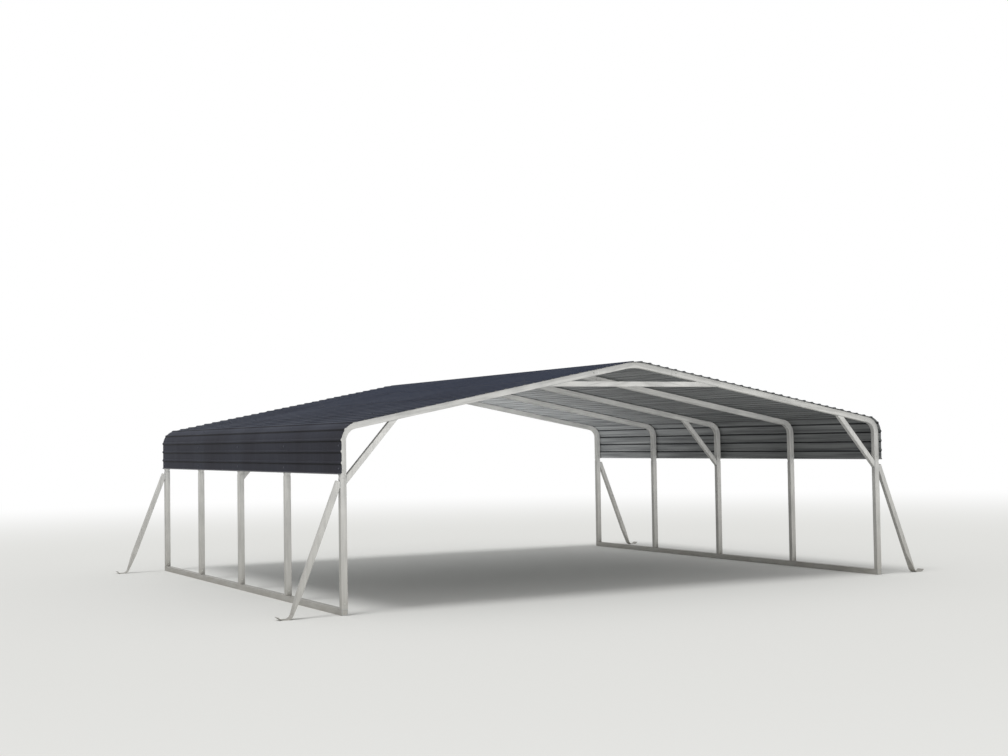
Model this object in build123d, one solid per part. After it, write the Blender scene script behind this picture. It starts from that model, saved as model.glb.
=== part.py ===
"""Open carport, 20 ft by 20 ft: bent square-tube frames on base rails, under ribbed steel sheets.

Frame: +X right, +Y from the front end to the back end, +Z up. The origin is on the ground, at the
centre of the footprint. Sizes are in millimetres. The left side is modelled and mirrored to the right.
"""
from build123d import *
import math
import os

# Size of the roof: 20 ft by 20 ft over the ribs
roof_width = 6096
roof_length = 6096
# Height where the centre lines of leg and rafter would meet, and the ridge's height above it
eave_height = 1635
roof_rise = 590
# Drop of the side sheets below the eave height, and of the rafters' feet below the sheets' lower edge
side_drop = 405
foot_drop = 10

# Square tube of legs, rafters and base rails: 2 1/4 in, 14 gauge
tube = 57
tube_wall = 2
tube_corner = 2.5
# Square tube of the braces and outriggers: 2 in, 14 gauge
brace_tube = 50
brace_wall = 2
brace_corner = 2.5
# Centre-line bend radii of the rafters
eave_radius = 140
peak_radius = 620
# Swaged ends, which narrow over the taper and slide into the next tube
swage_length = 90
swage_taper = 12
swage_clearance = 0.4
spigot_length = 90
# Swaged neck left in sight between a leg and its rafter
neck_gap = 28

frame_count = 5
end_overhang = 40
# Distance along the slope from the ridge to the joint of peak bend and rafter
peak_tail = 420
seat_gap = 0.2

# Knee braces of the front and middle frames: drop below the leg's top, and level run to the rafter
knee_drop = 10
knee_run = 473
# Collar ties: distance from the ridge to where a tie's centre line would meet the rafter's
tie_reach = 1000

# Outriggers: drop below the leg's top, distance down from there to the strut's square-cut end, and
# reach of the toe beyond the roof's edge, which makes the overall width 7229 (284.6 in)
outrigger_drop = 5
outrigger_trim = 20
outrigger_reach = 566.5
# The flattened foot, from its ankle to its toe, and the lip that curls up at the toe
foot_length = 120
foot_thickness = 5
foot_corner = 0.5
ankle_radius = 55
curl_angle = 38
curl_radius = 55
curl_lip = 40
flattening_length = 190
# Hole in each foot for a 14 mm ground anchor
anchor_hole = 16

# Ribbed sheet
sheet_thickness = 1
sheet_seat = 0.3
rib_pitch_wanted = 100
rib_height = 8
rib_base = 30
rib_crest = 12
# A sheet is raised by this over the one that it laps, and its edge runs this far past its last rib
lap_rise = 2
lap_lip = 10
# Slope sheets of each side from the eave up, which share its ribs with the eave sheet, and the side's
# top ribs that the ridge sheet covers
slope_sheets = ("lower", "middle", "upper")
ridge_sheet_ribs = 2

# Frame lines worked out from the sizes above
leg_x = roof_width / 2 - rib_height - sheet_thickness - sheet_seat - tube / 2
slope = math.atan2(roof_rise, leg_x)
ridge_height = eave_height + roof_rise
side_sheet_bottom = eave_height - side_drop
rafter_foot = side_sheet_bottom - foot_drop
leg_top = rafter_foot - neck_gap
toe_x = roof_width / 2 + outrigger_reach
frame_y_first = -roof_length / 2 + end_overhang + tube / 2
frame_spacing = -2 * frame_y_first / (frame_count - 1)
frame_ys = [frame_y_first + i * frame_spacing for i in range(frame_count)]
middle_frame = frame_count // 2
neck_width = tube - 2 * tube_wall - 2 * swage_clearance
foot_width = 2 * brace_tube - foot_thickness


def on_rafter(run, offset=0):
    """Point of the left rafter's centre line, `run` inwards from the leg's centre line, moved up by
    `offset` square to the slope."""
    x = -leg_x + run - offset * math.sin(slope)
    z = eave_height + run * math.tan(slope) + offset * math.cos(slope)
    return x, z


def in_frame(point, y):
    """The 3-D point of an (x, z) pair in the frame at y."""
    return (point[0], y, point[1])


def section_plane(origin, direction):
    """Plane square to a direction in the frame's plane, with its X axis along +Y."""
    return Plane(origin=origin, x_dir=(0, 1, 0), z_dir=direction)


def bar_section(width, depth, corner):
    """Rectangle with chamfered corners."""
    outline = Rectangle(width, depth)
    return chamfer(outline.vertices(), corner)


def hollow_square(width, wall, corner):
    """Section of a square tube, with its outer corners chamfered."""
    return bar_section(width, width, corner) - Rectangle(width - 2 * wall, width - 2 * wall)


def swaged_end(plane):
    """Tapered and narrowed end of a main tube, which starts at the plane and points along its normal."""
    neck = plane.offset(swage_taper)
    bore, neck_bore = tube - 2 * tube_wall, neck_width - 2 * tube_wall
    outer_sections = [plane * bar_section(tube, tube, tube_corner),
                      neck * bar_section(neck_width, neck_width, tube_corner)]
    outside = loft(outer_sections, ruled=True)
    inside = loft([plane * Rectangle(bore, bore), neck * Rectangle(neck_bore, neck_bore)], ruled=True)
    return outside - inside + extrude(neck * hollow_square(neck_width, tube_wall, tube_corner), swage_length)


def main_tube(path, start_direction):
    """Main tube swept along a path."""
    section = section_plane(path @ 0, start_direction) * hollow_square(tube, tube_wall, tube_corner)
    return sweep(section, path=path)


def keep_side(solid, point, normal):
    """The part of a solid on the side of a plane that its normal points to."""
    return split(solid, bisect_by=Plane(origin=point, z_dir=normal), keep=Keep.TOP)


def brace(start, end, y, cuts):
    """Brace tube between two (x, z) points, run past both and mitred by (point, normal) pairs."""
    direction = Vector(end[0] - start[0], 0, end[1] - start[1]).normalized()
    length = math.dist(start, end) + 4 * brace_tube
    origin = Vector(in_frame(start, y)) - direction * 2 * brace_tube
    section = section_plane(origin, direction) * hollow_square(brace_tube, brace_wall, brace_corner)
    bar = extrude(section, length)
    for point, normal in cuts:
        bar = keep_side(bar, in_frame(point, y), (normal[0], 0, normal[1]))
    return bar


def base_rail():
    """Rail on the ground under the left legs, with a welded spigot for each leg."""
    length = frame_ys[-1] - frame_ys[0] + tube
    start = Plane(origin=(-leg_x, frame_ys[0] - tube / 2, tube / 2), x_dir=(1, 0, 0), z_dir=(0, 1, 0))
    rail = extrude(start * hollow_square(tube, tube_wall, tube_corner), length)
    spigot = hollow_square(neck_width, tube_wall, tube_corner)
    for y in frame_ys:
        rail += extrude(Pos(-leg_x, y, tube) * spigot, spigot_length)
    return rail


def leg(y):
    """Left leg, from the rail's top to the swaged end that enters the rafter's foot."""
    bar = extrude(Pos(-leg_x, y, tube) * hollow_square(tube, tube_wall, tube_corner), leg_top - tube)
    return bar + swaged_end(section_plane((-leg_x, y, leg_top), (0, 0, 1)))


def rafter(y):
    """Left rafter, from its upright foot round the bend at the eave and up to the peak bend's taper."""
    foot = in_frame((-leg_x, rafter_foot), y)
    corner = in_frame((-leg_x, eave_height), y)
    top = in_frame(on_rafter(leg_x - (peak_tail + swage_taper) * math.cos(slope)), y)
    return main_tube(FilletPolyline(foot, corner, top, radius=eave_radius), (0, 0, 1))


def peak_bend(y):
    """Bent piece over the ridge, swaged into both rafters."""
    left = in_frame(on_rafter(leg_x - peak_tail * math.cos(slope)), y)
    right = (-left[0], y, left[2])
    top = in_frame((0, ridge_height), y)
    uphill = (math.cos(slope), 0, math.sin(slope))
    bar = main_tube(FilletPolyline(left, top, right, radius=peak_radius), uphill)
    swage = swaged_end(section_plane(left, (-uphill[0], 0, -uphill[2])))
    return bar + swage + mirror(swage, about=Plane.YZ)


def under_rafter_cut():
    """Plane just under the left rafter: a point on it, and its downward normal."""
    return on_rafter(knee_run, -tube / 2 - seat_gap), (math.sin(slope), -math.cos(slope))


def knee_brace(y):
    """Left knee brace, mitred to the leg's inner face and to the rafter's underside."""
    inner_face = (-leg_x + tube / 2 + seat_gap, leg_top - knee_drop)
    return brace(inner_face, on_rafter(knee_run, -tube / 2), y, [(inner_face, (1, 0)), under_rafter_cut()])


def collar_tie(y):
    """Tie across the frame under the ridge, mitred to the undersides of both rafters."""
    left = on_rafter(leg_x - tie_reach)
    point, normal = under_rafter_cut()
    other_side = ((-point[0], point[1]), (-normal[0], normal[1]))
    return brace(left, (-left[0], left[1]), y, [(point, normal), other_side])


def outrigger(y):
    """Left outrigger: a strut from the leg to the ground, flattened and bent into a foot that curls up
    at its toe and has an anchor hole."""
    outer_face = (-leg_x - tube / 2 - seat_gap, leg_top - outrigger_drop)
    sole_z = foot_thickness / 2
    ankle = (-toe_x + foot_length, sole_z)
    down = Vector(ankle[0] - outer_face[0], 0, ankle[1] - outer_face[1]).normalized()
    ankle_turn = math.pi / 2 - math.atan2(-down.X, -down.Z)
    ankle_tangent = ankle_radius * math.tan(ankle_turn / 2)
    flat_start = Vector(in_frame(ankle, y)) - down * (ankle_tangent + foot_thickness)
    round_end = flat_start - down * flattening_length

    top = Vector(in_frame(outer_face, y)) + down * outrigger_trim
    section = section_plane(top, down) * hollow_square(brace_tube, brace_wall, brace_corner)
    strut = extrude(section, (round_end - top).length)
    strut = keep_side(strut, in_frame(outer_face, y), (-1, 0, 0))

    upper, lower = section_plane(round_end, down), section_plane(flat_start, down)
    bore = brace_tube - 2 * brace_wall
    outer_sections = [upper * bar_section(brace_tube, brace_tube, brace_corner),
                      lower * bar_section(foot_width, foot_thickness, foot_corner)]
    slit = Rectangle(foot_width - 2 * brace_wall, foot_thickness - 2 * brace_wall)
    outside = loft(outer_sections, ruled=True)
    inside = loft([upper * Rectangle(bore, bore), lower * slit], ruled=True)

    curl = math.radians(curl_angle)
    toe = Vector(-toe_x + sole_z * math.sin(curl), y, sole_z + curl_lip * math.sin(curl))
    curl_corner = Vector(toe.X + curl_lip * math.cos(curl), y, sole_z)
    path = FilletPolyline(flat_start, in_frame(ankle, y), curl_corner, toe, radius=[ankle_radius, curl_radius])
    foot = sweep(lower * Rectangle(foot_width, foot_thickness), path=path)
    flat_outer = curl_corner.X + curl_radius * math.tan(curl / 2)
    flat_inner = ankle[0] - ankle_tangent
    foot -= Pos((flat_outer + flat_inner) / 2, y, 0) * Cylinder(anchor_hole / 2, 4 * foot_thickness)
    return strut + (outside - inside) + foot


# Developed line of the left half of the roof's underside, from the side sheet's lower edge to the ridge
over_tube = tube / 2 + sheet_seat
roof_x = leg_x + over_tube
roof_corner_z = eave_height + over_tube * (1 / math.cos(slope) - math.tan(slope))
roof_eave_radius = eave_radius + over_tube
roof_peak_radius = peak_radius + over_tube
eave_turn = math.pi / 2 - slope
eave_tangent = roof_eave_radius * math.tan(eave_turn / 2)
eave_centre_z = roof_corner_z - eave_tangent
peak_centre_z = ridge_height + (over_tube - roof_peak_radius) / math.cos(slope)
upright_end = eave_centre_z - side_sheet_bottom
bend_end = upright_end + roof_eave_radius * eave_turn
slope_end = bend_end + roof_x / math.cos(slope) - eave_tangent - roof_peak_radius * math.tan(slope)
ridge_end = slope_end + roof_peak_radius * slope
# Ribs stand at whole pitches from the lower edge, with the ridge midway between the last two
rib_total = round(ridge_end / rib_pitch_wanted - 0.5)
rib_pitch = ridge_end / (rib_total + 0.5)
web_angle = math.atan2(rib_height, (rib_base - rib_crest) / 2)
crest_shift = sheet_thickness * math.tan(web_angle / 2)
# The eave sheet takes the ribs that the slope sheets leave
slope_sheet_pitches = rib_total // (len(slope_sheets) + 1)
first_ridge_rib = rib_total - ridge_sheet_ribs
first_slope_rib = first_ridge_rib - len(slope_sheets) * slope_sheet_pitches


def roof_point(s, offset):
    """(x, z) at the developed length s of the roof line, `offset` outwards from it."""
    if s <= upright_end:
        return -roof_x - offset, side_sheet_bottom + s
    if s <= bend_end:
        turn = (s - upright_end) / roof_eave_radius
        reach = roof_eave_radius + offset
        return -roof_x + roof_eave_radius - reach * math.cos(turn), eave_centre_z + reach * math.sin(turn)
    if s <= slope_end:
        along = eave_tangent + s - bend_end
        x = -roof_x + along * math.cos(slope) - offset * math.sin(slope)
        return x, roof_corner_z + along * math.sin(slope) + offset * math.cos(slope)
    turn = (ridge_end - s) / roof_peak_radius
    reach = roof_peak_radius + offset
    return -reach * math.sin(turn), peak_centre_z + reach * math.cos(turn)


def front_point(s, offset):
    """The roof line's point in the plane of the roof's front end."""
    return in_frame(roof_point(s, offset), -roof_length / 2)


def is_curved(s):
    """Whether the roof line bends at the developed length s."""
    return upright_end < s < bend_end or s > slope_end


def rib_at(index):
    """Developed length at the middle of a rib. Rib -1 has its middle on the lower edge."""
    return (index + 1) * rib_pitch


def skin(ribs, edges, rise, thickness):
    """Points (s, offset) of one skin of a sheet: its two edges (s, height), its ribs, and the ends of the
    roof line's bends. `rise` gives the sheet's own offset at s."""
    shift = crest_shift if thickness else 0
    points = [(s, height) for s, height in edges]
    for index in ribs:
        for side, height in ((-rib_base, 0), (-rib_crest, rib_height), (rib_crest, rib_height), (rib_base, 0)):
            points.append((rib_at(index) + side / 2 + math.copysign(shift, side), height))
    for s in (upright_end, bend_end, slope_end):
        if not any(abs(s - rib_at(index)) < rib_base / 2 + shift for index in ribs):
            points.append((s, 0))
    start, end = edges[0][0], edges[1][0]
    return sorted((s, rise(s) + height + thickness) for s, height in points if start <= s <= end)


def skin_edges(points):
    """Edges of a skin in the plane of the roof's front end: arcs on the bends, lines elsewhere."""
    edges = []
    for (s0, h0), (s1, h1) in zip(points, points[1:]):
        middle_s = (s0 + s1) / 2
        if is_curved(middle_s) and abs(h1 - h0) < rib_height / 2:
            middle = front_point(middle_s, (h0 + h1) / 2)
            edges.append(ThreePointArc(front_point(s0, h0), middle, front_point(s1, h1)))
        else:
            edges.append(Line(front_point(s0, h0), front_point(s1, h1)))
    return edges


def sheet_outline(ribs, edges, rise):
    """Edges of a ribbed sheet's end outline: its two skins, then its lower and its upper edge."""
    under = skin(ribs, edges, rise, 0)
    over = skin(ribs, edges, rise, sheet_thickness)
    closing = [Line(front_point(*a), front_point(*b)) for a, b in ((under[0], over[0]), (under[-1], over[-1]))]
    return skin_edges(under) + skin_edges(over) + closing


def extruded_sheet(outline):
    """Sheet of the roof's full length from the edges of its end outline."""
    return extrude(Face(Wire.combine(outline, tol=1e-4)[0]), roof_length, dir=(0, 1, 0))


def lap(rib, side):
    """Edge of a sheet, which lies flat a little past its last rib."""
    return rib_at(rib) + side * (rib_base / 2 + lap_lip), 0


def eave_sheet():
    """Left side sheet, from half a rib at its lower edge round the eave and up to the first lap."""
    ribs = range(-1, first_slope_rib + 1)
    return extruded_sheet(sheet_outline(ribs, ((0, rib_height), lap(ribs[-1], 1)), lambda s: 0))


def slope_sheet(first):
    """Left slope sheet. Its lower rib lies over the sheet below and its upper edge on the rafters."""
    last = first + slope_sheet_pitches

    def rise(s):
        return lap_rise * max(0, rib_at(last) - s) / (rib_at(last) - rib_at(first))

    return extruded_sheet(sheet_outline(range(first, last + 1), (lap(first, -1), lap(last, 1)), rise))


def ridge_sheet(first):
    """Sheet bent over the ridge, which covers the top ribs of both upper slope sheets."""
    edges = (lap(first, -1), (ridge_end, 0))
    half = sheet_outline(range(first, rib_total), edges, lambda s: lap_rise)[:-1]
    return extruded_sheet(half + [mirror(edge, about=Plane.YZ) for edge in half])


def both_sides(name, shape):
    """Writes the left piece, and its mirror image as the right piece."""
    write(f"left_{name}", shape)
    write(f"right_{name}", mirror(shape, about=Plane.YZ))


def write(name, shape):
    """Writes one node's STEP file."""
    export_step(shape, f"parts/{name}.step")


os.makedirs("parts", exist_ok=True)

both_sides("base_rail", base_rail())
for number, y in enumerate(frame_ys, start=1):
    both_sides(f"leg_{number}", leg(y))
    both_sides(f"rafter_{number}", rafter(y))
    write(f"peak_bend_{number}", peak_bend(y))

for place, y in (("front", frame_ys[0]), ("middle", frame_ys[middle_frame])):
    left_brace = knee_brace(y)
    write(f"{place}_knee_braces", Compound([left_brace, mirror(left_brace, about=Plane.YZ)]))
for place, y in (("front", frame_ys[0]), ("back", frame_ys[-1])):
    write(f"{place}_collar_tie", collar_tie(y))
    both_sides(f"{place}_outrigger", outrigger(y))

both_sides("eave_sheet", eave_sheet())
for i, place in enumerate(slope_sheets):
    both_sides(f"{place}_slope_sheet", slope_sheet(first_slope_rib + i * slope_sheet_pitches))
write("ridge_sheet", ridge_sheet(first_ridge_rib))
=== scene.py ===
"""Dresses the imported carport: galvanised tube frames and painted ribbed sheets, with their screws and welds.

Everything is in metres, +X right, +Y from the front end to the back end, +Z up, origin at floor level.
"""
import logging
import math
from dataclasses import dataclass, field, fields
from enum import Enum
from functools import partial
from typing import Any

import bpy
from bpy.types import ID, Material, Mesh, Node, NodeSocket, NodeTree, Object, bpy_prop_collection
from mathutils import Euler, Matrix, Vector


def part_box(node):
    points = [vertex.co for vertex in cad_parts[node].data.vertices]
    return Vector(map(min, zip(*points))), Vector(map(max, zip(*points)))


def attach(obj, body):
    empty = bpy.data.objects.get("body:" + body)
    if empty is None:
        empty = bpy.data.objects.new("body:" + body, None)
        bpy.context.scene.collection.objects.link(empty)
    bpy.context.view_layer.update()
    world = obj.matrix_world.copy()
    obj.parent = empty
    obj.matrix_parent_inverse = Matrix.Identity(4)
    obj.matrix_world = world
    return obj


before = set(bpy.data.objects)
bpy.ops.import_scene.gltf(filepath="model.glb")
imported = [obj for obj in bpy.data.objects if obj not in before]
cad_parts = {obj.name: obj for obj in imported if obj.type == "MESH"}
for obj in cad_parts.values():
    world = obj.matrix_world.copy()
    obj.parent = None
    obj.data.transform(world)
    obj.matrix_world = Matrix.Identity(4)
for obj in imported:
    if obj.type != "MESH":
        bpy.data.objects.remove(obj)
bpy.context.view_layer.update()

log = logging.getLogger("carport")

BODY = "root"
MM = 0.001
# Frames, from the front end to the back end
FRAME_COUNT = 5
FIRST_FRAME_Y = -2.9795
FRAME_SPACING = 1.48975
# Blender's class names of the nodes that are used most
MATH = "ShaderNodeMath"
MIX = "ShaderNodeMix"
RANGE = "ShaderNodeMapRange"
SPLIT = "ShaderNodeSeparateXYZ"


class Slot(Enum):
    """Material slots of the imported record."""

    TUBE = "galvanised_tube"
    SHEET = "roof_sheet"


def linear(colour: str) -> tuple[float, float, float, float]:
    """Turns an sRGB hex colour into linear values.

    Args:
        colour: Six hex digits after a hash sign.

    Returns:
        Red, green, blue and alpha, all linear.
    """
    parts = [int(colour[i:i + 2], 16) / 255 for i in (1, 3, 5)]
    red, green, blue = (c / 12.92 if c <= 0.04045 else ((c + 0.055) / 1.055) ** 2.4 for c in parts)
    return red, green, blue, 1.0


def add_node(tree: NodeTree, kind: str, inputs: tuple | dict[Any, Any] = (), **settings: Any) -> Node:
    """Adds a node to a tree with its settings, values and links.

    Args:
        tree: Shader or geometry node tree.
        kind: Blender's class name of the node.
        inputs: Values of the inputs that the node shows, in their order, or values by name or index. A value
            is a number, a hex colour, an output socket, or a node, which stands for its first shown output.
        settings: Properties of the node.

    Returns:
        The new node.
    """
    node = tree.nodes.new(kind)
    for name, value in settings.items():
        setattr(node, name, value)
    if isinstance(inputs, tuple):
        pairs = list(zip([socket for socket in node.inputs if socket.enabled], inputs))
    else:
        pairs = [(node.inputs[key], value) for key, value in inputs.items()]
    for socket, value in pairs:
        if isinstance(value, Node):
            value = next(output for output in value.outputs if output.enabled)
        if isinstance(value, NodeSocket):
            tree.links.new(value, socket)
        else:
            is_colour = isinstance(value, str) and value.startswith("#")
            socket.default_value = linear(value) if is_colour else value
    return node


def new_object(name: str, data: ID) -> Object:
    """Makes an object and links it to the scene.

    Args:
        name: Name of the object.
        data: Its mesh, lamp or camera data.

    Returns:
        The object.
    """
    made = bpy.data.objects.new(name, data)
    bpy.context.scene.collection.objects.link(made)
    return made


def new_material(name: str) -> tuple[Material, NodeTree]:
    """Makes an empty node material.

    Args:
        name: Name of the finish.

    Returns:
        The material and its node tree, which holds nothing yet.
    """
    material = bpy.data.materials.new(name)
    material.use_nodes = True
    material.node_tree.nodes.clear()
    return material, material.node_tree


@dataclass(frozen=True)
class Patches:
    """Soft patches: their typical length along X, Y and Z, and the noise levels that become 0 and 1."""

    size_mm: tuple[float, float, float]
    low: float
    high: float
    detail: float = 3.0

    def build(self, tree: NodeTree, place: NodeSocket) -> Node:
        """Adds the patches to a shader tree.

        Args:
            tree: Shader tree.
            place: Coordinates that the patches lie on.

        Returns:
            Node with the patches' strength.
        """
        scale = tuple(1 / (length * MM) for length in self.size_mm)
        scaled = add_node(tree, "ShaderNodeMapping", {"Vector": place, "Scale": scale})
        noise = add_node(tree, "ShaderNodeTexNoise", {"Vector": scaled, "Scale": 1.0, "Detail": self.detail})
        return add_node(tree, RANGE, (noise, self.low, self.high), clamp=True)


@dataclass(frozen=True)
class GalvanisedTube:
    """Pre-galvanised steel tube, roll formed and welded: a pale, dull zinc skin with a faint crystal pattern.

    A strength is the most that its layer covers, from 0 to 1.
    """

    pale: str = "#D6D5D1"
    grey: str = "#B4B4B2"
    rubbed: str = "#9A9A98"
    crystal: str = "#D0D0CE"
    # Dust colour, also used as painted shade low down on the tubes
    dust: str = "#94928C"
    soil: str = "#7D766B"
    roughness: float = 0.5
    metallic: float = 0.25
    # Zinc clouds of two hands' width
    clouds: Patches = Patches((200, 200, 240), 0.3, 0.75)
    # Spangle of this thin coating is about 6 mm across, drawn 9 mm so that it shows
    crystal_size: float = 9 * MM
    crystal_strength: float = 0.55
    crystal_roughening: float = 0.12
    # Marks that the forming rolls leave along a tube, a thumb wide and a foot long
    rail_marks: Patches = Patches((20, 300, 20), 0.44, 0.72, 2.0)
    leg_marks: Patches = Patches((20, 20, 300), 0.44, 0.72, 2.0)
    rafter_marks: Patches = Patches((300, 20, 20), 0.44, 0.72, 2.0)
    mark_strength: float = 0.5
    # Dust film that thickens from the eaves down to the feet, and is partly painted shade on the lower tubes
    dust_and_shade_top: float = 1.5
    dust_and_shade_strength: float = 0.8
    # Soil splashed up to a hand above the floor
    soil_top: float = 0.16
    soil_patches: Patches = Patches((120, 300, 50), 0.35, 0.75)
    soil_strength: float = 0.5
    # Skin ripple of the zinc, a tenth of a millimetre deep
    ripple_size: float = 14 * MM
    ripple_depth: float = 0.15 * MM
    ripple_strength: float = 0.5

    def roll_marks(self, tree: NodeTree, place: NodeSocket, line: "RoofLine") -> Node:
        """Marks of the forming rolls, which run along the rails, the legs and the rafters.

        Args:
            tree: Shader tree.
            place: Object coordinates.
            line: The roof line, whose slope the rafters follow.

        Returns:
            Node with the marks' strength.
        """
        node = partial(add_node, tree)
        at = node(SPLIT, (place,)).outputs
        reach = node(MATH, (at[0],), operation="ABSOLUTE")
        levelled = node(MATH, (reach, math.tan(line.slope), at[2]), operation="MULTIPLY_ADD")
        sloping = node("ShaderNodeCombineXYZ", (reach, at[1], levelled)).outputs[0]
        rails = self.rail_marks.build(tree, place)
        legs = self.leg_marks.build(tree, place)
        rafters = self.rafter_marks.build(tree, sloping)
        # The rails are as high as their tube, and the rafters leave the upright in the eave bend
        standing = node(MATH, (at[2], line.tube), operation="GREATER_THAN")
        turned = node(RANGE, (at[2], line.bend_z, line.bend_z + line.bend_radius), clamp=True)
        return node(MIX, (turned, node(MIX, (standing, rails, legs)), rafters))

    def build(self, line: "RoofLine") -> Material:
        """Builds the material: cloudy zinc, spangle, roll marks along the tube, and dust with painted shade
        and soil low down.

        Args:
            line: The roof line, whose slope the rafters follow.

        Returns:
            The material.
        """
        material, tree = new_material("galvanised tube")
        node = partial(add_node, tree)
        place = node("ShaderNodeTexCoord").outputs["Object"]
        height = node(SPLIT, (place,)).outputs[2]
        cells = node("ShaderNodeTexVoronoi", {"Vector": place, "Scale": 1 / self.crystal_size})
        spangle = node(RANGE, (cells.outputs["Color"], 0.0, 1.0, 0.0, self.crystal_strength), clamp=True)
        marks = node(MATH, (self.roll_marks(tree, place, line), self.mark_strength), operation="MULTIPLY")
        # Dust and painted shade, darker towards the feet
        dust_and_shade = node(RANGE, (height, self.dust_and_shade_top, 0.0, 0.0, self.dust_and_shade_strength), clamp=True)
        splash = node(RANGE, (height, self.soil_top, 0.0), clamp=True)
        soiled = node(MATH, (splash, self.soil_patches.build(tree, place)), operation="MULTIPLY")
        soiled = node(MATH, (soiled, self.soil_strength), operation="MULTIPLY")
        colour: Any = self.pale
        for cover, coat in ((self.clouds.build(tree, place), self.grey), (spangle, self.crystal),
                            (marks, self.rubbed), (dust_and_shade, self.dust), (soiled, self.soil)):
            colour = node(MIX, (cover, colour, coat), data_type="RGBA")
        uneven = node(MATH, (spangle, self.crystal_roughening, self.roughness), operation="MULTIPLY_ADD")
        ripple = node("ShaderNodeTexNoise", {"Vector": place, "Scale": 1 / self.ripple_size, "Detail": 2.0})
        bump = node("ShaderNodeBump", {"Strength": self.ripple_strength, "Distance": self.ripple_depth,
                                       "Height": ripple})
        shader = node("ShaderNodeBsdfPrincipled", {"Base Color": colour, "Metallic": self.metallic,
                                                   "Roughness": uneven, "Normal": bump})
        node("ShaderNodeOutputMaterial", {"Surface": shader})
        return material


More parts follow.
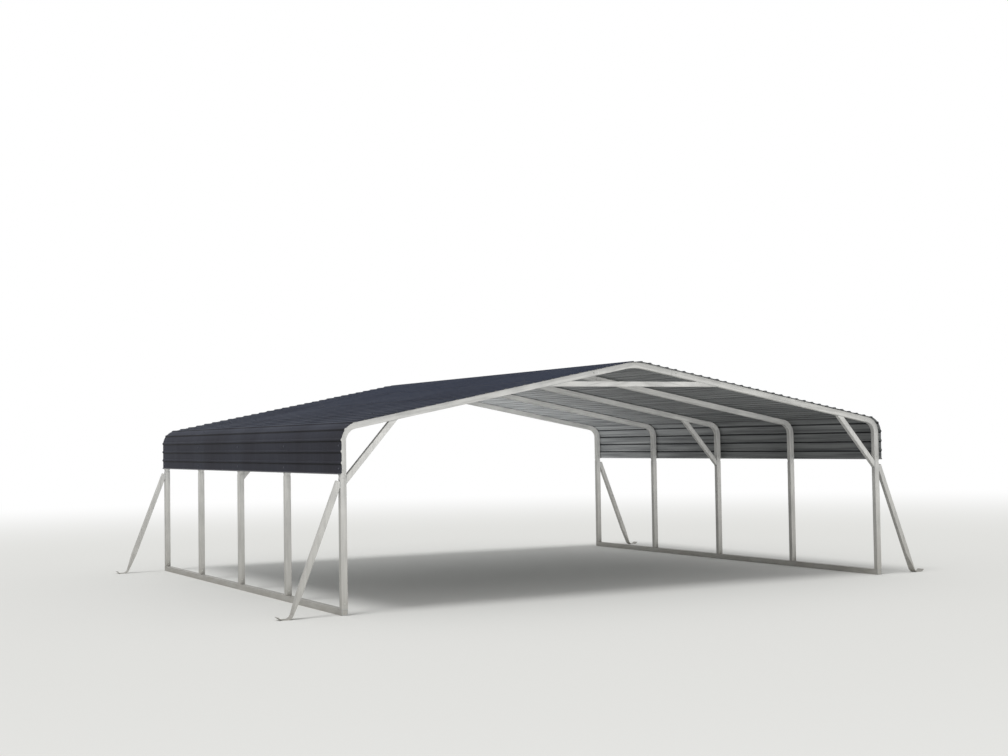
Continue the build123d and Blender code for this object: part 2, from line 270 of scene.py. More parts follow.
@dataclass(frozen=True)
class PaintedRibbedSheet:
    """Roll-formed sheet steel: satin blue-black baked enamel outside, and a thin grey backing coat inside.

    A strength is the most that its layer covers, from 0 to 1.
    """

    enamel: str = "#212A3E"
    weathered: str = "#2B2B32"
    dust: str = "#55565C"
    # Pale colour of the painted highlight along the sheets' lower edge
    worn: str = "#8B8B8C"
    # Dark colour for the dirt carried down the slopes, and for the painted shade along the ribs
    dirt_and_rib_shade: str = "#101116"
    backing: str = "#797B7B"
    backing_dull: str = "#57595A"
    # Dark colour of the cut ends: painted shade under the sheets' overhang, not the bare steel's own colour
    cut_edge_shade: str = "#2A2B31"
    roughness: float = 0.58
    gloss_level: float = 0.08
    # The enamel fades in patches of a metre, and is greyer on the upright sides
    fading: Patches = Patches((1300, 900, 900), 0.38, 0.7)
    fading_strength: float = 0.3
    fading_roughening: float = 0.1
    side_greying: float = 0.7
    # Rain streaks run down the slope across the ribs
    streaks: Patches = Patches((700, 30, 500), 0.5, 0.8)
    streak_strength: float = 0.12
    # Rain carries dirt down from the ridge, so the last two metres of the slopes are darker
    dirty_run: float = 2.0
    dirty_strength: float = 0.16
    # Long streaks of the backing coat along the ribs, from the coil
    bands: Patches = Patches((35, 1300, 35), 0.36, 0.66, 5.0)
    # Painted shade lies along the lower foot of each rib, for the shaded lower web and the shadow below it:
    # from the crest's edge to a little below the web
    grime_middle: float = -13.0 * MM
    rib_shade_half: float = 9.0 * MM
    rib_shade_fade: float = 3.0 * MM
    # The painted shade is faint near the ridge, and darker near the eaves and on the sides
    ridge_grime: float = 0.12
    eave_grime: float = 0.33
    side_rib_shade: float = 0.47
    # A painted highlight runs pale along the lower edge
    highlight_edge: float = 12.0 * MM
    highlight_strength: float = 0.45
    # Only the cut ends of the sheets face this much along the carport
    cut_facing: float = 0.9
    # Flats of thin sheet are never quite flat: waves a third of a metre long and under a millimetre high
    waves_per_metre: float = 3.0
    wave_depth: float = 3 * MM
    wave_strength: float = 0.6

    def outside(self, tree: NodeTree, facing: list[NodeSocket], beyond: Node, above: Node) -> Node:
        """Finds which skin of a sheet a point is on.

        Args:
            tree: Shader tree.
            facing: X, Y and Z of the face's own normal.
            beyond: Reach of the point past the eave bend's centre, below zero on the left side.
            above: Reach of the point above that centre.

        Returns:
            Node that gives 1 outside and 0 inside.
        """
        upwards = add_node(tree, MATH, (facing[2], above), operation="MULTIPLY")
        outwards = add_node(tree, MATH, (facing[0], beyond, upwards), operation="MULTIPLY_ADD")
        return add_node(tree, MATH, (outwards, 0.0), operation="GREATER_THAN")

    def off_rib(self, tree: NodeTree, height: NodeSocket, reach: Node, beyond: Node, above: Node,
                line: "RoofLine") -> Node:
        """Measures how far up the roof line a point is from the middle of the nearest rib.

        Args:
            tree: Shader tree.
            height: Height of the point.
            reach: Distance of the point from the middle of the carport.
            beyond: Reach of the point past the eave bend's centre, outwards.
            above: Reach of the point above that centre.
            line: The roof line.

        Returns:
            Node with the distance in metres, below zero under the rib.
        """
        node = partial(add_node, tree)
        slope_x, slope_z, *_ = line.at(line.marks()[1], 0.0)
        upright = node(MATH, (height, line.bend_z), operation="MINIMUM")
        upright = node(MATH, (upright, line.lower_edge), operation="SUBTRACT")
        turn = node(MATH, (above, beyond), operation="ARCTAN2")
        turn = node(MATH, (turn, math.pi / 2 - line.slope), operation="MINIMUM")
        inwards = node(MATH, (-slope_x, reach), operation="SUBTRACT")
        upwards = node(MATH, (height, slope_z), operation="SUBTRACT")
        upwards = node(MATH, (upwards, math.sin(line.slope)), operation="MULTIPLY")
        climb = node(MATH, (inwards, math.cos(line.slope), upwards), operation="MULTIPLY_ADD")
        climb = node(MATH, (climb, 0.0), operation="MAXIMUM")
        length = node(MATH, (turn, line.bend_radius, upright), operation="MULTIPLY_ADD")
        length = node(MATH, (length, climb), operation="ADD")
        pitches = node(MATH, (length, 1 / line.rib_pitch, 0.5), operation="MULTIPLY_ADD")
        pitches = node(MATH, (pitches,), operation="FRACT")
        return node(MATH, (pitches, line.rib_pitch, -line.rib_pitch / 2), operation="MULTIPLY_ADD")

    def build(self, line: "RoofLine") -> Material:
        """Builds the material: enamel outside, backing coat inside, and a dark edge where the sheet was cut,
        painted as shade.

        Args:
            line: The roof line, which tells the upright, the eave bend and the slope apart.

        Returns:
            The material.
        """
        material, tree = new_material("painted ribbed sheet")
        node = partial(add_node, tree)
        place = node("ShaderNodeTexCoord").outputs["Object"]
        facing = list(node(SPLIT, (node("ShaderNodeNewGeometry").outputs["True Normal"],)).outputs)
        across, _, height = node(SPLIT, (place,)).outputs
        reach = node(MATH, (across,), operation="ABSOLUTE")
        beyond = node(MATH, (reach, line.bend_x), operation="SUBTRACT")
        beyond = node(MATH, (beyond, 0.0), operation="MAXIMUM")
        above = node(MATH, (height, line.bend_z), operation="SUBTRACT")
        above = node(MATH, (above, 0.0), operation="MAXIMUM")
        upright = node(RANGE, (beyond, 0.0, line.bend_radius), clamp=True)
        carried = node(RANGE, (reach, line.bend_x - self.dirty_run, line.bend_x), clamp=True)

        fading = self.fading.build(tree, place)
        dulled = node(MATH, (fading, self.fading_strength), operation="MULTIPLY")
        dulled = node(MATH, (upright, self.side_greying, dulled), operation="MULTIPLY_ADD")
        streaks = node(MATH, (self.streaks.build(tree, place), self.streak_strength), operation="MULTIPLY")
        dirty = node(MATH, (carried, self.dirty_strength), operation="MULTIPLY")
        enamel: Any = self.enamel
        for cover, coat in ((dulled, self.weathered), (streaks, self.dust), (dirty, self.dirt_and_rib_shade)):
            enamel = node(MIX, (cover, enamel, coat), data_type="RGBA")

        # Painted shade along the lower foot of each rib
        aside = self.off_rib(tree, height, reach, beyond, above, line)
        aside = node(MATH, (aside, self.grime_middle), operation="SUBTRACT")
        aside = node(MATH, (aside,), operation="ABSOLUTE")
        rib_shade = node(RANGE, (aside, self.rib_shade_half, self.rib_shade_half - self.rib_shade_fade), clamp=True)
        rib_shade_strength = node(MATH, (carried, self.eave_grime, self.ridge_grime), operation="MULTIPLY_ADD")
        rib_shade_strength = node(MATH, (upright, self.side_rib_shade, rib_shade_strength), operation="MULTIPLY_ADD")
        rib_shade = node(MATH, (rib_shade, rib_shade_strength), operation="MULTIPLY")
        # Painted highlight along the lower edge
        edge = line.lower_edge
        low = node(RANGE, (height, edge + self.highlight_edge, edge + self.highlight_edge / 2), clamp=True)
        low = node(MATH, (low, self.highlight_strength), operation="MULTIPLY")
        # Cut ends of the sheets, painted dark as shade
        along = node(MATH, (facing[1],), operation="ABSOLUTE")
        cut = node(MATH, (along, self.cut_facing), operation="GREATER_THAN")

        signed = node(MATH, (node(MATH, (across,), operation="SIGN"), beyond), operation="MULTIPLY")
        outside = self.outside(tree, facing, signed, above)
        colour: Any = self.backing
        # Coats in turn: backing bands, enamel outside, painted rib shade, painted edge highlight, and cut ends
        # painted dark as shade
        for cover, coat in ((self.bands.build(tree, place), self.backing_dull), (outside, enamel),
                            (rib_shade, self.dirt_and_rib_shade), (low, self.worn), (cut, self.cut_edge_shade)):
            colour = node(MIX, (cover, colour, coat), data_type="RGBA")
        rough = node(MATH, (fading, self.fading_roughening, self.roughness), operation="MULTIPLY_ADD")
        waves = node("ShaderNodeTexNoise", {"Vector": place, "Scale": self.waves_per_metre, "Detail": 1.0})
        bump = node("ShaderNodeBump", {"Strength": self.wave_strength, "Distance": self.wave_depth,
                                       "Height": waves})
        shader = node("ShaderNodeBsdfPrincipled", {"Base Color": colour, "Roughness": rough, "Normal": bump,
                                                   "Specular IOR Level": self.gloss_level})
        node("ShaderNodeOutputMaterial", {"Surface": shader})
        return material


@dataclass(frozen=True)
class PlainMetal:
    """Small metal parts of one colour, worn a little lighter or darker in spots of a few millimetres."""

    name: str
    colour: str
    worn: str
    roughness: float
    metallic: float
    spots: Patches = Patches((4, 4, 4), 0.45, 0.75)
    spot_roughening: float = 0.1

    def build(self) -> Material:
        """Builds the material from the colour and its worn spots.

        Returns:
            The material.
        """
        material, tree = new_material(self.name)
        node = partial(add_node, tree)
        spots = self.spots.build(tree, node("ShaderNodeTexCoord").outputs["Object"])
        colour = node(MIX, (spots, self.colour, self.worn), data_type="RGBA")
        uneven = node(MATH, (spots, self.spot_roughening, self.roughness), operation="MULTIPLY_ADD")
        shader = node("ShaderNodeBsdfPrincipled", {"Base Color": colour, "Metallic": self.metallic,
                                                   "Roughness": uneven})
        node("ShaderNodeOutputMaterial", {"Surface": shader})
        return material


# Baked enamel over steel, to match the sheets: dark, with a soft shine
SHEET_SCREW = PlainMetal("enamelled screw", "#30333F", "#454750", roughness=0.4, metallic=0.0)
# Zinc plated steel: bright and smooth, a little yellow where the plating dulls
TUBE_SCREW = PlainMetal("zinc plated screw", "#B9BBB6", "#A4A49A", roughness=0.35, metallic=0.9)
# Weld bead under zinc paint: grey, and duller than the tube
ZINC_WELD = PlainMetal("zinc painted weld", "#A6A9A8", "#8F9290", roughness=0.6, metallic=0.4)


@dataclass(frozen=True)
class RoofLine:
    """Developed line of the left half of the roof, from the side sheet's lower edge to the ridge."""

    roof_x: float = 3.0390
    eave_height: float = 1.635
    rise: float = 0.590
    drop: float = 0.405
    tube: float = 0.057
    seat: float = 0.0003
    eave_radius: float = 0.140
    peak_radius: float = 0.620
    ribs: int = 34

    @property
    def leg_x(self) -> float:
        """Distance of the legs' centre lines from the middle."""
        return self.roof_x - self.over_tube

    @property
    def over_tube(self) -> float:
        """Distance of the sheets' undersides from the tubes' centre lines."""
        return self.tube / 2 + self.seat

    @property
    def lower_edge(self) -> float:
        """Height of the side sheets' lower edges."""
        return self.eave_height - self.drop

    @property
    def slope(self) -> float:
        """Angle of the slope above level."""
        return math.atan2(self.rise, self.leg_x)

    @property
    def bend_radius(self) -> float:
        """Radius of the sheets' underside at the eave."""
        return self.eave_radius + self.over_tube

    @property
    def bend_x(self) -> float:
        """Distance of the eave bend's centre from the middle."""
        return self.roof_x - self.bend_radius

    @property
    def bend_z(self) -> float:
        """Height of the eave bend's centre."""
        corner = self.eave_height + self.over_tube * (1 / math.cos(self.slope) - math.tan(self.slope))
        return corner - self.bend_radius * math.tan((math.pi / 2 - self.slope) / 2)

    def marks(self) -> tuple[float, float, float, float]:
        """Finds where the parts of the roof line end.

        Returns:
            Developed lengths at the ends of the upright, the eave bend, the slope and the half peak.
        """
        upright = self.bend_z - self.lower_edge
        turn = math.pi / 2 - self.slope
        bend = upright + self.bend_radius * turn
        peak = self.peak_radius + self.over_tube
        flat = self.roof_x / math.cos(self.slope) - self.bend_radius * math.tan(turn / 2)
        flat_end = bend + flat - peak * math.tan(self.slope)
        return upright, bend, flat_end, flat_end + peak * self.slope

    @property
    def rib_pitch(self) -> float:
        """Distance between ribs along the roof line, which ends half a pitch past its last rib."""
        return self.marks()[3] / (self.ribs + 0.5)

    def at(self, s: float, offset: float) -> tuple[float, float, float, float]:
        """Place and outward direction on the left half of the roof.

        Args:
            s: Developed length from the lower edge.
            offset: Distance outwards from the sheets' underside.

        Returns:
            x and z of the place, and x and z of the outward direction.
        """
        upright, bend, flat_end, ridge = self.marks()
        if s <= upright:
            return -self.roof_x - offset, self.lower_edge + s, -1.0, 0.0
        if s <= bend:
            turn = (s - upright) / self.bend_radius
            nx, nz, reach = -math.cos(turn), math.sin(turn), self.bend_radius + offset
            return -self.bend_x + nx * reach, self.bend_z + nz * reach, nx, nz
        peak = self.peak_radius + self.over_tube
        peak_z = self.eave_height + self.rise + (self.over_tube - peak) / math.cos(self.slope)
        if s <= flat_end:
            nx, nz, back = -math.sin(self.slope), math.cos(self.slope), flat_end - s
            x, z = nx * (peak + offset), peak_z + nz * (peak + offset)
            return x - back * nz, z + back * nx, nx, nz
        turn = (ridge - s) / peak
        nx, nz = -math.sin(turn), math.cos(turn)
        return nx * (peak + offset), peak_z + nz * (peak + offset), nx, nz


def kept(name: str, mesh: Mesh) -> Object:
    """Links a finished mesh as a piece of the carport.

    Args:
        name: Name of the piece.
        mesh: Mesh with its place and its materials.

    Returns:
        The piece.
    """
    piece = new_object(name, mesh)
    mesh.name = name
    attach(piece, BODY)
    log.info("%s: %d faces", name, len(mesh.polygons))
    return piece


@dataclass
class GrownPiece:
    """A piece of many like shapes, which one geometry node tree grows from points or edges.

    Each number among the piece's fields is an input of the tree, named like the field.
    """

    name: str
    finish: PlainMetal
    slot: Slot
    seed: int

    def start(self) -> Mesh:
        """Mesh that the tree starts from."""
        raise NotImplementedError

    def shape(self, tree: NodeTree, given: bpy_prop_collection) -> Node:
        """Adds the nodes that make the shape from the tree's own inputs."""
        raise NotImplementedError

    def build(self) -> Object:
        """Builds the tree, runs it and keeps the result as a plain mesh.

        Returns:
            The piece, with no modifier left.
        """
        tree = bpy.data.node_groups.new(f"{self.name} tree", "GeometryNodeTree")
        tree.interface.new_socket("Geometry", in_out="INPUT", socket_type="NodeSocketGeometry")
        kinds = {int: "NodeSocketInt", float: "NodeSocketFloat"}
        values: dict[str, float] = {}
        for size in fields(self):
            if size.type in kinds:
                socket = tree.interface.new_socket(size.name, in_out="INPUT", socket_type=kinds[size.type])
                values[socket.identifier] = getattr(self, size.name)
        tree.interface.new_socket("Geometry", in_out="OUTPUT", socket_type="NodeSocketGeometry")
        shape = self.shape(tree, add_node(tree, "NodeGroupInput").outputs)
        solid = add_node(tree, "GeometryNodeRealizeInstances", {0: shape})
        dressed = add_node(tree, "GeometryNodeSetMaterial", {0: solid, "Material": self.finish.build()})
        add_node(tree, "NodeGroupOutput", {0: dressed})

        start = new_object(f"{self.name}_start", self.start())
        modifier = start.modifiers.new("grow", "NODES")
        modifier.node_group = tree
        for identifier, value in values.items():
            modifier[identifier] = value
        start.update_tag()
        bpy.context.view_layer.update()
        result = bpy.data.meshes.new_from_object(start.evaluated_get(bpy.context.evaluated_depsgraph_get()))
        bpy.data.objects.remove(start)
        return kept(self.name, result)


@dataclass
class ScrewField(GrownPiece):
    """Hexagon screws with washers, each grown from a point and its direction."""

    seed: int = 7
    head_radius: float = 4.6 * MM
    head_height: float = 4.2 * MM
    head_sides: int = 6
    flange_radius: float = 6.5 * MM
    flange_height: float = 1.4 * MM
    washer_radius: float = 8.0 * MM
    washer_height: float = 2.0 * MM
    washer_sides: int = 12
    places: list[Vector] = field(default_factory=list)
    directions: list[Vector] = field(default_factory=list)

    def add(self, place: Vector, direction: Vector) -> None:
        """Adds one screw that stands on a surface point and points outwards."""
        self.places.append(place)
        self.directions.append(direction.normalized())

    def start(self) -> Mesh:
        """Builds the screws' points.

        Returns:
            Mesh of points, each with its screw's direction.
        """
        mesh = bpy.data.meshes.new(f"{self.name}_points")
        mesh.from_pydata([tuple(p) for p in self.places], [], [])
        attribute = mesh.attributes.new("direction", "FLOAT_VECTOR", "POINT")
        attribute.data.foreach_set("vector", [c for d in self.directions for c in d])
        return mesh

    def shape(self, tree: NodeTree, given: bpy_prop_collection) -> Node:
        """Adds the nodes that make one screw and stand it on every point.

        Args:
            tree: Geometry node tree.
            given: The tree's own inputs.

        Returns:
            Node with all the screws.
        """
        node = partial(add_node, tree)
        washer = node("GeometryNodeMeshCylinder", {"Vertices": given["washer_sides"],
                                                   "Radius": given["washer_radius"],
                                                   "Depth": given["washer_height"]})
        flange = node("GeometryNodeMeshCone", {"Vertices": given["washer_sides"],
                                               "Radius Top": given["head_radius"],
                                               "Radius Bottom": given["flange_radius"],
                                               "Depth": given["flange_height"]})
        head = node("GeometryNodeMeshCylinder", {"Vertices": given["head_sides"],
                                                 "Radius": given["head_radius"],
                                                 "Depth": given["head_height"]})
        half = node(MATH, (given["washer_height"], 0.5), operation="MULTIPLY")
        rim = node(MATH, (given["head_height"], 0.5, given["washer_height"]), operation="MULTIPLY_ADD")
        raised = []
        for part, height in ((washer, half), (flange, given["washer_height"]), (head, rim)):
            up = node("ShaderNodeCombineXYZ", {2: height})
            raised.append(node("GeometryNodeTransform", {0: part, "Translation": up}))
        screw = node("GeometryNodeJoinGeometry")
        for part in raised:
            tree.links.new(part.outputs[0], screw.inputs[0])
        direction = node("GeometryNodeInputNamedAttribute", {"Name": "direction"}, data_type="FLOAT_VECTOR")
        aligned = node("FunctionNodeAlignRotationToVector", {"Vector": direction}, axis="Z")
        spin = node("FunctionNodeRandomValue", {"Seed": given["seed"]}, data_type="FLOAT")
        angle = node(MATH, (spin, 2 * math.pi / self.head_sides), operation="MULTIPLY")
        turn = node("FunctionNodeAxisAngleToRotation", {"Axis": (0.0, 0.0, 1.0), "Angle": angle})
        turned = node("FunctionNodeRotateRotation", {0: aligned, 1: turn}, rotation_space="LOCAL")
        points = node("GeometryNodeMeshToPoints", {0: given["Geometry"]})
        return node("GeometryNodeInstanceOnPoints", {"Points": points, "Instance": screw, "Rotation": turned})


@dataclass
class WeldRuns(GrownPiece):
    """Weld beads, each grown from a closed loop round the end of a brace or an end plate."""

    name: str = "weld_beads"
    finish: PlainMetal = ZINC_WELD
    slot: Slot = Slot.TUBE
    seed: int = 3
    bead_radius: float = 2.6 * MM
    bead_sides: int = 6
    step: float = 3.5 * MM
    # Each step of the torch leaves a lump of its own size, from 0.75 to 1.2 times the bead's
    least_lump: float = 0.75
    most_lump: float = 1.2
    corners: list[Vector] = field(default_factory=list)
    loops: list[int] = field(default_factory=list)

    def add(self, corners: list[Vector]) -> None:
        """Adds one closed bead through its corners."""
        self.corners += corners
        self.loops.append(len(corners))

    def start(self) -> Mesh:
        """Builds the loops that the beads follow.

        Returns:
            Mesh of closed loops of edges.
        """
        edges, first = [], 0
        for count in self.loops:
            edges += [(first + i, first + (i + 1) % count) for i in range(count)]
            first += count
        mesh = bpy.data.meshes.new(f"{self.name}_loops")
        mesh.from_pydata([tuple(c) for c in self.corners], edges, [])
        return mesh

    def shape(self, tree: NodeTree, given: bpy_prop_collection) -> Node:
        """Adds the nodes that lay a lumpy bead along every loop.

        Args:
            tree: Geometry node tree.
            given: The tree's own inputs.

        Returns:
            Node with all the beads.
        """
        node = partial(add_node, tree)
        line = node("GeometryNodeMeshToCurve", {0: given["Geometry"]})
        fine = node("GeometryNodeResampleCurve", {0: line, "Length": given["step"]}, mode="LENGTH")
        lumps = node("FunctionNodeRandomValue", {2: given["least_lump"], 3: given["most_lump"],
                                                 "Seed": given["seed"]}, data_type="FLOAT")
        lumpy = node("GeometryNodeSetCurveRadius", {0: fine, "Radius": lumps})
        profile = node("GeometryNodeCurvePrimitiveCircle", {"Resolution": given["bead_sides"],
                                                            "Radius": given["bead_radius"]})
        bead = node("GeometryNodeCurveToMesh", {"Curve": lumpy, "Profile Curve": profile,
                                                "Scale": node("GeometryNodeInputRadius")})
        return node("GeometryNodeSetShadeSmooth", {0: bead})


def sheet_nodes() -> list[str]:
    """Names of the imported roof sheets."""
    return [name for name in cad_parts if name.endswith("sheet")]


def dress(nodes: list[str], material: Material) -> None:
    """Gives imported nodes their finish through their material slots.

    Args:
        nodes: Names of the nodes.
        material: Their finish.
    """
    for name in nodes:
        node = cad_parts[name]
        if not node.material_slots:
            node.data.materials.append(None)
        for place in node.material_slots:
            place.material = material


@dataclass
class RoofSheets:
    """The nine ribbed sheets and the screws that hold them to the frames and to each other."""

    line: RoofLine
    frame_ys: list[float]
    sheet: float = 1.0 * MM
    lap_rise: float = 2.0 * MM
    rib_height: float = 8.0 * MM
    lap_ribs: tuple[int, ...] = (8, 16, 24, 32)
    # A screw in every second flat at each frame, and two in each lap between two frames
    flats_per_screw: int = 2
    lap_screws: tuple[float, ...] = (1 / 3, 2 / 3)
    washer_sink: float = 0.2 * MM
    finish: PaintedRibbedSheet = PaintedRibbedSheet()

    def top_of_flat(self, s: float) -> float:
        """Finds how high a sheet's outer skin lies between two ribs.

        Args:
            s: Developed length from the lower edge.

        Returns:
            Distance outwards from the sheets' underside line.
        """
        pitch = self.line.rib_pitch
        for first, last in zip(self.lap_ribs, self.lap_ribs[1:]):
            start, end = (first + 1) * pitch, (last + 1) * pitch
            if start <= s < end:
                return self.sheet + self.lap_rise * (end - s) / (end - start)
        return self.sheet + (self.lap_rise if s > (self.lap_ribs[-1] + 1) * pitch else 0.0)

    def screws(self) -> ScrewField:
        """Places the screws, through the flats at each frame and through the lapped ribs between.

        Returns:
            The screws, not built yet.
        """
        screws = ScrewField("roof_screws", SHEET_SCREW, Slot.SHEET)
        pitch = self.line.rib_pitch
        flats = [(index + 0.5) * pitch for index in range(0, self.line.ribs, self.flats_per_screw)]
        stands = [(s, self.top_of_flat(s), y) for s in flats for y in self.frame_ys]
        bay = self.frame_ys[1] - self.frame_ys[0]
        between = [y + bay * part for y in self.frame_ys[:-1] for part in self.lap_screws]
        for rib in self.lap_ribs:
            s = (rib + 1) * pitch
            stands += [(s, self.top_of_flat(s) + self.rib_height, y) for y in between]
        for s, offset, y in stands:
            x, z, nx, nz = self.line.at(s, offset - self.washer_sink)
            for side in (1, -1):
                screws.add(Vector((side * x, y, z)), Vector((side * nx, 0, nz)))
        return screws

    def build(self) -> None:
        """Dresses the sheets and builds their screws."""
        names = sheet_nodes()
        dress(names, self.finish.build(self.line))
        log.info("dressed %d sheets", len(names))
        self.screws().build()


@dataclass
class RailEnds:
    """Pressed steel plates that close the four ends of the base rails, each with a bead round it."""

    line: RoofLine
    wall: float = 2.0 * MM
    recess: float = 0.8 * MM
    thickness: float = 2.0 * MM
    dish: float = 1.2 * MM
    dish_rim: float = 9.0 * MM
    gap: float = 0.2 * MM
    bead_inset: float = 1.5 * MM
    finish: GalvanisedTube = GalvanisedTube()

    def rings(self) -> list[tuple[float, float]]:
        """Finds the square rings of a plate, from its pressed middle round to its back.

        Returns:
            Half width and depth of each ring.
        """
        half = self.line.tube / 2 - self.wall - self.gap
        flat = half - self.dish_rim
        back = self.recess + self.thickness
        return [(flat - self.dish, self.recess + self.dish), (flat, self.recess), (half, self.recess),
                (half, back)]

    def build(self, welds: WeldRuns) -> Object:
        """Builds the four plates as one mesh and adds their beads.

        Args:
            welds: Weld runs that the beads are added to.

        Returns:
            The piece.
        """
        points: list[tuple[float, float, float]] = []
        faces: list[tuple[int, ...]] = []
        square = ((-1, -1), (1, -1), (1, 1), (-1, 1))
        rings, sides, middle = self.rings(), len(square), self.line.tube / 2
        bead = middle - self.wall - self.bead_inset
        for rail in ("left_base_rail", "right_base_rail"):
            low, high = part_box(rail)
            x = math.copysign(self.line.leg_x, low[0])
            for y, out in ((low[1], -1), (high[1], 1)):
                first = len(points)
                for half, depth in rings:
                    points += [(x + a * half, y - out * depth, middle + b * half) for a, b in square]
                last = first + sides * (len(rings) - 1)
                loops = [tuple(range(first, first + sides)), tuple(reversed(range(last, last + sides)))]
                for ring in range(first, last, sides):
                    for i, after in enumerate((1, 2, 3, 0)):
                        loops.append((ring + i, ring + sides + i, ring + sides + after, ring + after))
                faces += loops if out < 0 else [tuple(reversed(loop)) for loop in loops]
                face = y - out * self.recess
                welds.add([Vector((x + a * bead, face, middle + b * bead)) for a, b in square])
        mesh = bpy.data.meshes.new("rail_end_plates")
        mesh.from_pydata(points, [], faces)
        mesh.materials.append(self.finish.build(self.line))
        return kept("rail_end_plates", mesh)


@dataclass
class TubeFrames:
    """The five frames with their rails, braces and outriggers, and their screws and welds."""

    line: RoofLine
    frame_ys: list[float]
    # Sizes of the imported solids, on which the screws and welds sit
    leg_top: float = 1.192
    rafter_foot: float = 1.220
    peak_tail: float = 0.432
    knee_drop: float = 0.010
    knee_run: float = 0.473
    tie_reach: float = 1.000
    outrigger_drop: float = 0.005
    outrigger_trim: float = 0.020
    brace: float = 0.050
    brace_corner: float = 2.5 * MM
    sleeve: float = 0.045
    toe_x: float = 3.6145
    foot_length: float = 0.120
    sole: float = 2.5 * MM
    # Washers of the frame screws
    washer_radius: float = 6.5 * MM
    washer_height: float = 1.0 * MM
    washer_sink: float = 0.1 * MM
    # A bead's middle lies this far outside the brace's skin
    bead_offset: float = 0.8 * MM
    finish: GalvanisedTube = GalvanisedTube()

    def on_rafter(self, run: float, offset: float) -> tuple[float, float]:
        """Place `run` inwards along the left rafter's line and `offset` above it, square to the slope."""
        slope = self.line.slope
        return (-self.line.leg_x + run - offset * math.sin(slope),
                self.line.eave_height + run * math.tan(slope) + offset * math.cos(slope))

    def screws(self) -> ScrewField:
        """Places the screws on the front and back faces of every sleeve joint.

        Returns:
            The screws, not built yet.
        """
        screws = ScrewField("frame_screws", TUBE_SCREW, Slot.TUBE, washer_radius=self.washer_radius,
                            washer_height=self.washer_height)
        slope, leg_x = self.line.slope, -self.line.leg_x
        peak = self.on_rafter(self.line.leg_x - (self.peak_tail + self.sleeve) * math.cos(slope), 0.0)
        spots = [(leg_x, self.line.tube + self.sleeve), (leg_x, self.rafter_foot + self.sleeve), peak]
        for y in self.frame_ys:
            for x, z in spots:
                for side in (1, -1):
                    for face in (-1, 1):
                        out = face * (self.line.tube / 2 - self.washer_sink)
                        screws.add(Vector((side * x, y + out, z)), Vector((0, face, 0)))
        return screws

    def mitre(self, centre: tuple[float, float], along: Vector, normal: Vector, y: float,
              highest: float = math.inf) -> list[Vector]:
        """Corners of a square brace where it meets a flat face.

        Args:
            centre: x and z where the brace's centre line meets the face.
            along: Direction of the brace.
            normal: Direction of the face.
            y: Place of the frame.
            highest: Height on an upright face where the brace was cut off square.

        Returns:
            Eight corners in order round the brace, on its outer skin.
        """
        half = self.brace / 2 + self.bead_offset
        flat = half - self.brace_corner
        side = Vector((0, 1, 0))
        up = along.cross(side).normalized()
        ring = [(half, flat), (flat, half), (-flat, half), (-half, flat),
                (-half, -flat), (-flat, -half), (flat, -half), (half, -flat)]
        middle = Vector((centre[0], y, centre[1]))
        corners = []
        for a, b in ring:
            offset = side * a + up * b
            corner = middle + offset - along * (offset.dot(normal) / along.dot(normal))
            corner.z = min(corner.z, highest)
            corners.append(corner)
        return corners

    def brace_line(self, start: tuple[float, float], end: tuple[float, float]) -> Vector:
        """Direction from one x and z place to another."""
        return Vector((end[0] - start[0], 0, end[1] - start[1])).normalized()

    def welds(self) -> WeldRuns:
        """Places the beads round both ends of each knee brace and collar tie, and round each outrigger's top.

        Returns:
            The beads, not built yet.
        """
        runs = WeldRuns()
        line, slope = self.line, self.line.slope
        under = Vector((math.sin(slope), 0, -math.cos(slope)))
        foot = (-line.leg_x + line.tube / 2, self.leg_top - self.knee_drop)
        head = self.on_rafter(self.knee_run, -line.tube / 2)
        knee = self.brace_line(foot, head)
        top = (-line.leg_x - line.tube / 2, self.leg_top - self.outrigger_drop)
        strut = self.brace_line(top, (-self.toe_x + self.foot_length, self.sole))
        tie_z = self.on_rafter(line.leg_x - self.tie_reach, 0.0)[1]
        x, z = self.on_rafter(0.0, -line.tube / 2)
        tie = (x + (tie_z - z) / math.tan(slope), tie_z)
        first, middle, last = self.frame_ys[0], self.frame_ys[2], self.frame_ys[-1]
        # The strut's end is square to it, so it leaves the leg's face below the centre line
        cut_z = top[1] - self.outrigger_trim / abs(strut.z)
        beads = [self.mitre(foot, knee, Vector((1, 0, 0)), y) for y in (first, middle)]
        beads += [self.mitre(head, knee, under, y) for y in (first, middle)]
        beads += [self.mitre(top, strut, Vector((-1, 0, 0)), y, cut_z) for y in (first, last)]
        beads += [self.mitre(tie, Vector((1, 0, 0)), under, y) for y in (first, last)]
        for corners in beads:
            runs.add(corners)
            runs.add([Vector((-c.x, c.y, c.z)) for c in reversed(corners)])
        return runs

    def build(self) -> None:
        """Dresses the tubes and builds their screws, rail end plates and welds."""
        names = [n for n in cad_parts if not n.endswith("sheet")]
        dress(names, self.finish.build(self.line))
        log.info("dressed %d tube nodes", len(names))
        self.screws().build()
        welds = self.welds()
        RailEnds(self.line).build(welds)
        welds.build()


@dataclass(frozen=True)
class Sun:
    """A distant, soft lamp: the way that its light travels, its strength, and its angle in degrees."""

    name: str
    direction: tuple[float, float, float]
    strength: float
    softness: float

    def build(self) -> Object:
        """Builds the lamp.

        Returns:
            The lamp.
        """
        light = bpy.data.lights.new(self.name, "SUN")
        light.energy = self.strength
        light.angle = math.radians(self.softness)
        lamp = new_object(self.name, light)
        lamp.rotation_euler = Vector(self.direction).to_track_quat("-Z", "Y").to_euler()
        return lamp


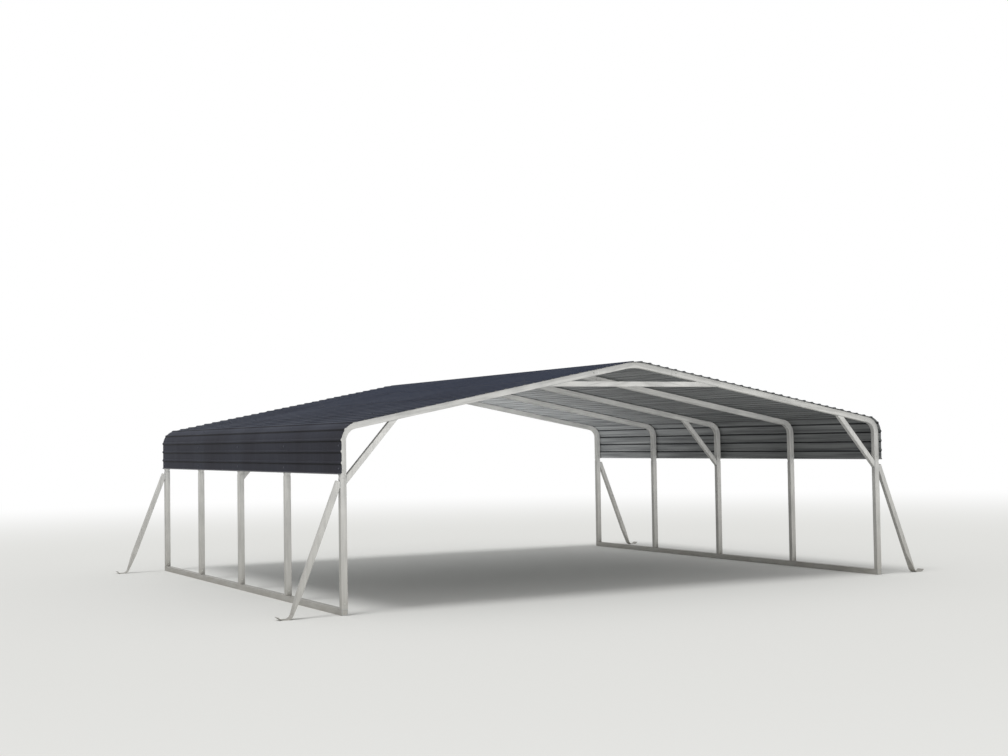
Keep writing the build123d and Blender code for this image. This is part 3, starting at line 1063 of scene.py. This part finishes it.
@dataclass(frozen=True)
class Bounce:
    """A faint, unseen lamp that lies on the floor and shines up: its middle, size and power in watts."""

    name: str
    place: tuple[float, float, float]
    size: tuple[float, float]
    power: float

    def build(self) -> None:
        """Builds the lamp. It lights the sheets alone, as the tubes' undersides are dark in the picture."""
        light = bpy.data.lights.new(self.name, "AREA")
        light.shape = "RECTANGLE"
        light.size, light.size_y = self.size
        light.energy = self.power
        lamp = new_object(self.name, light)
        lamp.location = self.place
        lamp.rotation_euler = Euler((math.pi, 0.0, 0.0))
        lamp.visible_camera = False
        lit = bpy.data.collections.new(f"lit by the {self.name} bounce")
        for node in sheet_nodes():
            lit.objects.link(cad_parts[node])
        lamp.light_linking.receiver_collection = lit


@dataclass
class Studio:
    """Pale floor, soft light and the camera."""

    floor_size: float = 160.0
    floor_colour: str = "#E6E6E3"
    white: str = "#FFFFFF"
    # The floor fades into the white background between these distances from the carport's middle
    fade_start: float = 7.0
    fade_end: float = 26.0
    key: Sun = Sun("key", (0.38, 0.12, -0.85), strength=1.25, softness=22.0)
    fill: Sun = Sun("fill", (0.12, 1.0, 0.14), strength=1.12, softness=14.0)
    bounces: tuple[Bounce, ...] = (Bounce("rear", (-0.3, 3.0, 0.02), (5.2, 2.4), power=180.0),
                                   Bounce("front", (-0.4, -5.6, 0.02), (5.0, 1.6), power=76.0))
    sky_strength: float = 0.6
    # The camera's place, its angles in degrees, and its lens and sensor in millimetres
    place: tuple[float, float, float] = (-7.7953, -15.7462, 1.501)
    angles: tuple[float, float, float] = (92.254, 1.001, -30.097)
    lens: float = 54.755
    sensor: float = 36.0
    shift: tuple[float, float] = (-0.0953, 0.0005)
    view_depth: float = 400.0

    def floor(self) -> Object:
        """Builds the floor, which fades into the white background far from the carport.

        Returns:
            The floor.
        """
        half = self.floor_size / 2
        mesh = bpy.data.meshes.new("floor")
        corners = [(-half, -half, 0), (half, -half, 0), (half, half, 0), (-half, half, 0)]
        mesh.from_pydata(corners, [], [(0, 1, 2, 3)])
        plane = new_object("floor", mesh)
        material, tree = new_material("floor")
        node = partial(add_node, tree)
        place = node("ShaderNodeTexCoord").outputs["Object"]
        away = node("ShaderNodeVectorMath", (place,), operation="LENGTH").outputs["Value"]
        far = node(RANGE, (away, self.fade_start, self.fade_end), interpolation_type="SMOOTHSTEP")
        seen = node("ShaderNodeLightPath").outputs["Is Camera Ray"]
        faded = node(MATH, (far, seen), operation="MULTIPLY")
        matt = node("ShaderNodeBsdfDiffuse", {"Color": self.floor_colour})
        white = node("ShaderNodeEmission", {"Color": self.white, "Strength": 1.0})
        node("ShaderNodeOutputMaterial", {"Surface": node("ShaderNodeMixShader", (faded, matt, white))})
        mesh.materials.append(material)
        return plane

    def sky(self) -> None:
        """Builds the world: soft even light, seen as plain white."""
        world = bpy.data.worlds.new("studio")
        world.use_nodes = True
        world.node_tree.nodes.clear()
        node = partial(add_node, world.node_tree)
        path = node("ShaderNodeLightPath").outputs
        seen = node(MATH, (path["Is Camera Ray"], path["Is Glossy Ray"]), operation="MAXIMUM")
        seen = node(MATH, (seen, path["Is Transmission Ray"]), operation="MAXIMUM")
        light = node("ShaderNodeBackground", {"Color": self.white, "Strength": self.sky_strength})
        white = node("ShaderNodeBackground", {"Color": self.white, "Strength": 1.0})
        node("ShaderNodeOutputWorld", {"Surface": node("ShaderNodeMixShader", (seen, light, white))})
        bpy.context.scene.world = world

    def camera(self) -> None:
        """Builds the camera at the picture's viewing angle."""
        data = bpy.data.cameras.new("camera")
        data.lens = self.lens
        data.sensor_width = self.sensor
        data.shift_x, data.shift_y = self.shift
        data.clip_end = self.view_depth
        camera = new_object("camera", data)
        camera.location = self.place
        camera.rotation_euler = Euler([math.radians(a) for a in self.angles])
        bpy.context.scene.camera = camera

    def build(self) -> None:
        """Builds the whole studio and sets the view transform."""
        floor = self.floor()
        self.sky()
        self.key.build()
        fill = self.fill.build()
        # The fill shines a little upwards to reach in under the roof, so the floor mustn't shade it
        passed = bpy.data.collections.new("passed by the fill")
        passed.objects.link(floor)
        passed.collection_objects[0].light_linking.link_state = "EXCLUDE"
        fill.light_linking.blocker_collection = passed
        for bounce in self.bounces:
            bounce.build()
        self.camera()
        bpy.context.scene.view_settings.view_transform = "Standard"


def main() -> None:
    """Builds the studio, the roof and the frames in order."""
    logging.basicConfig(level=logging.INFO, format="%(name)s: %(message)s")
    line = RoofLine()
    frame_ys = [FIRST_FRAME_Y + FRAME_SPACING * i for i in range(FRAME_COUNT)]
    Studio().build()
    RoofSheets(line, frame_ys).build()
    TubeFrames(line, frame_ys).build()


if __name__ == "__main__":
    main()
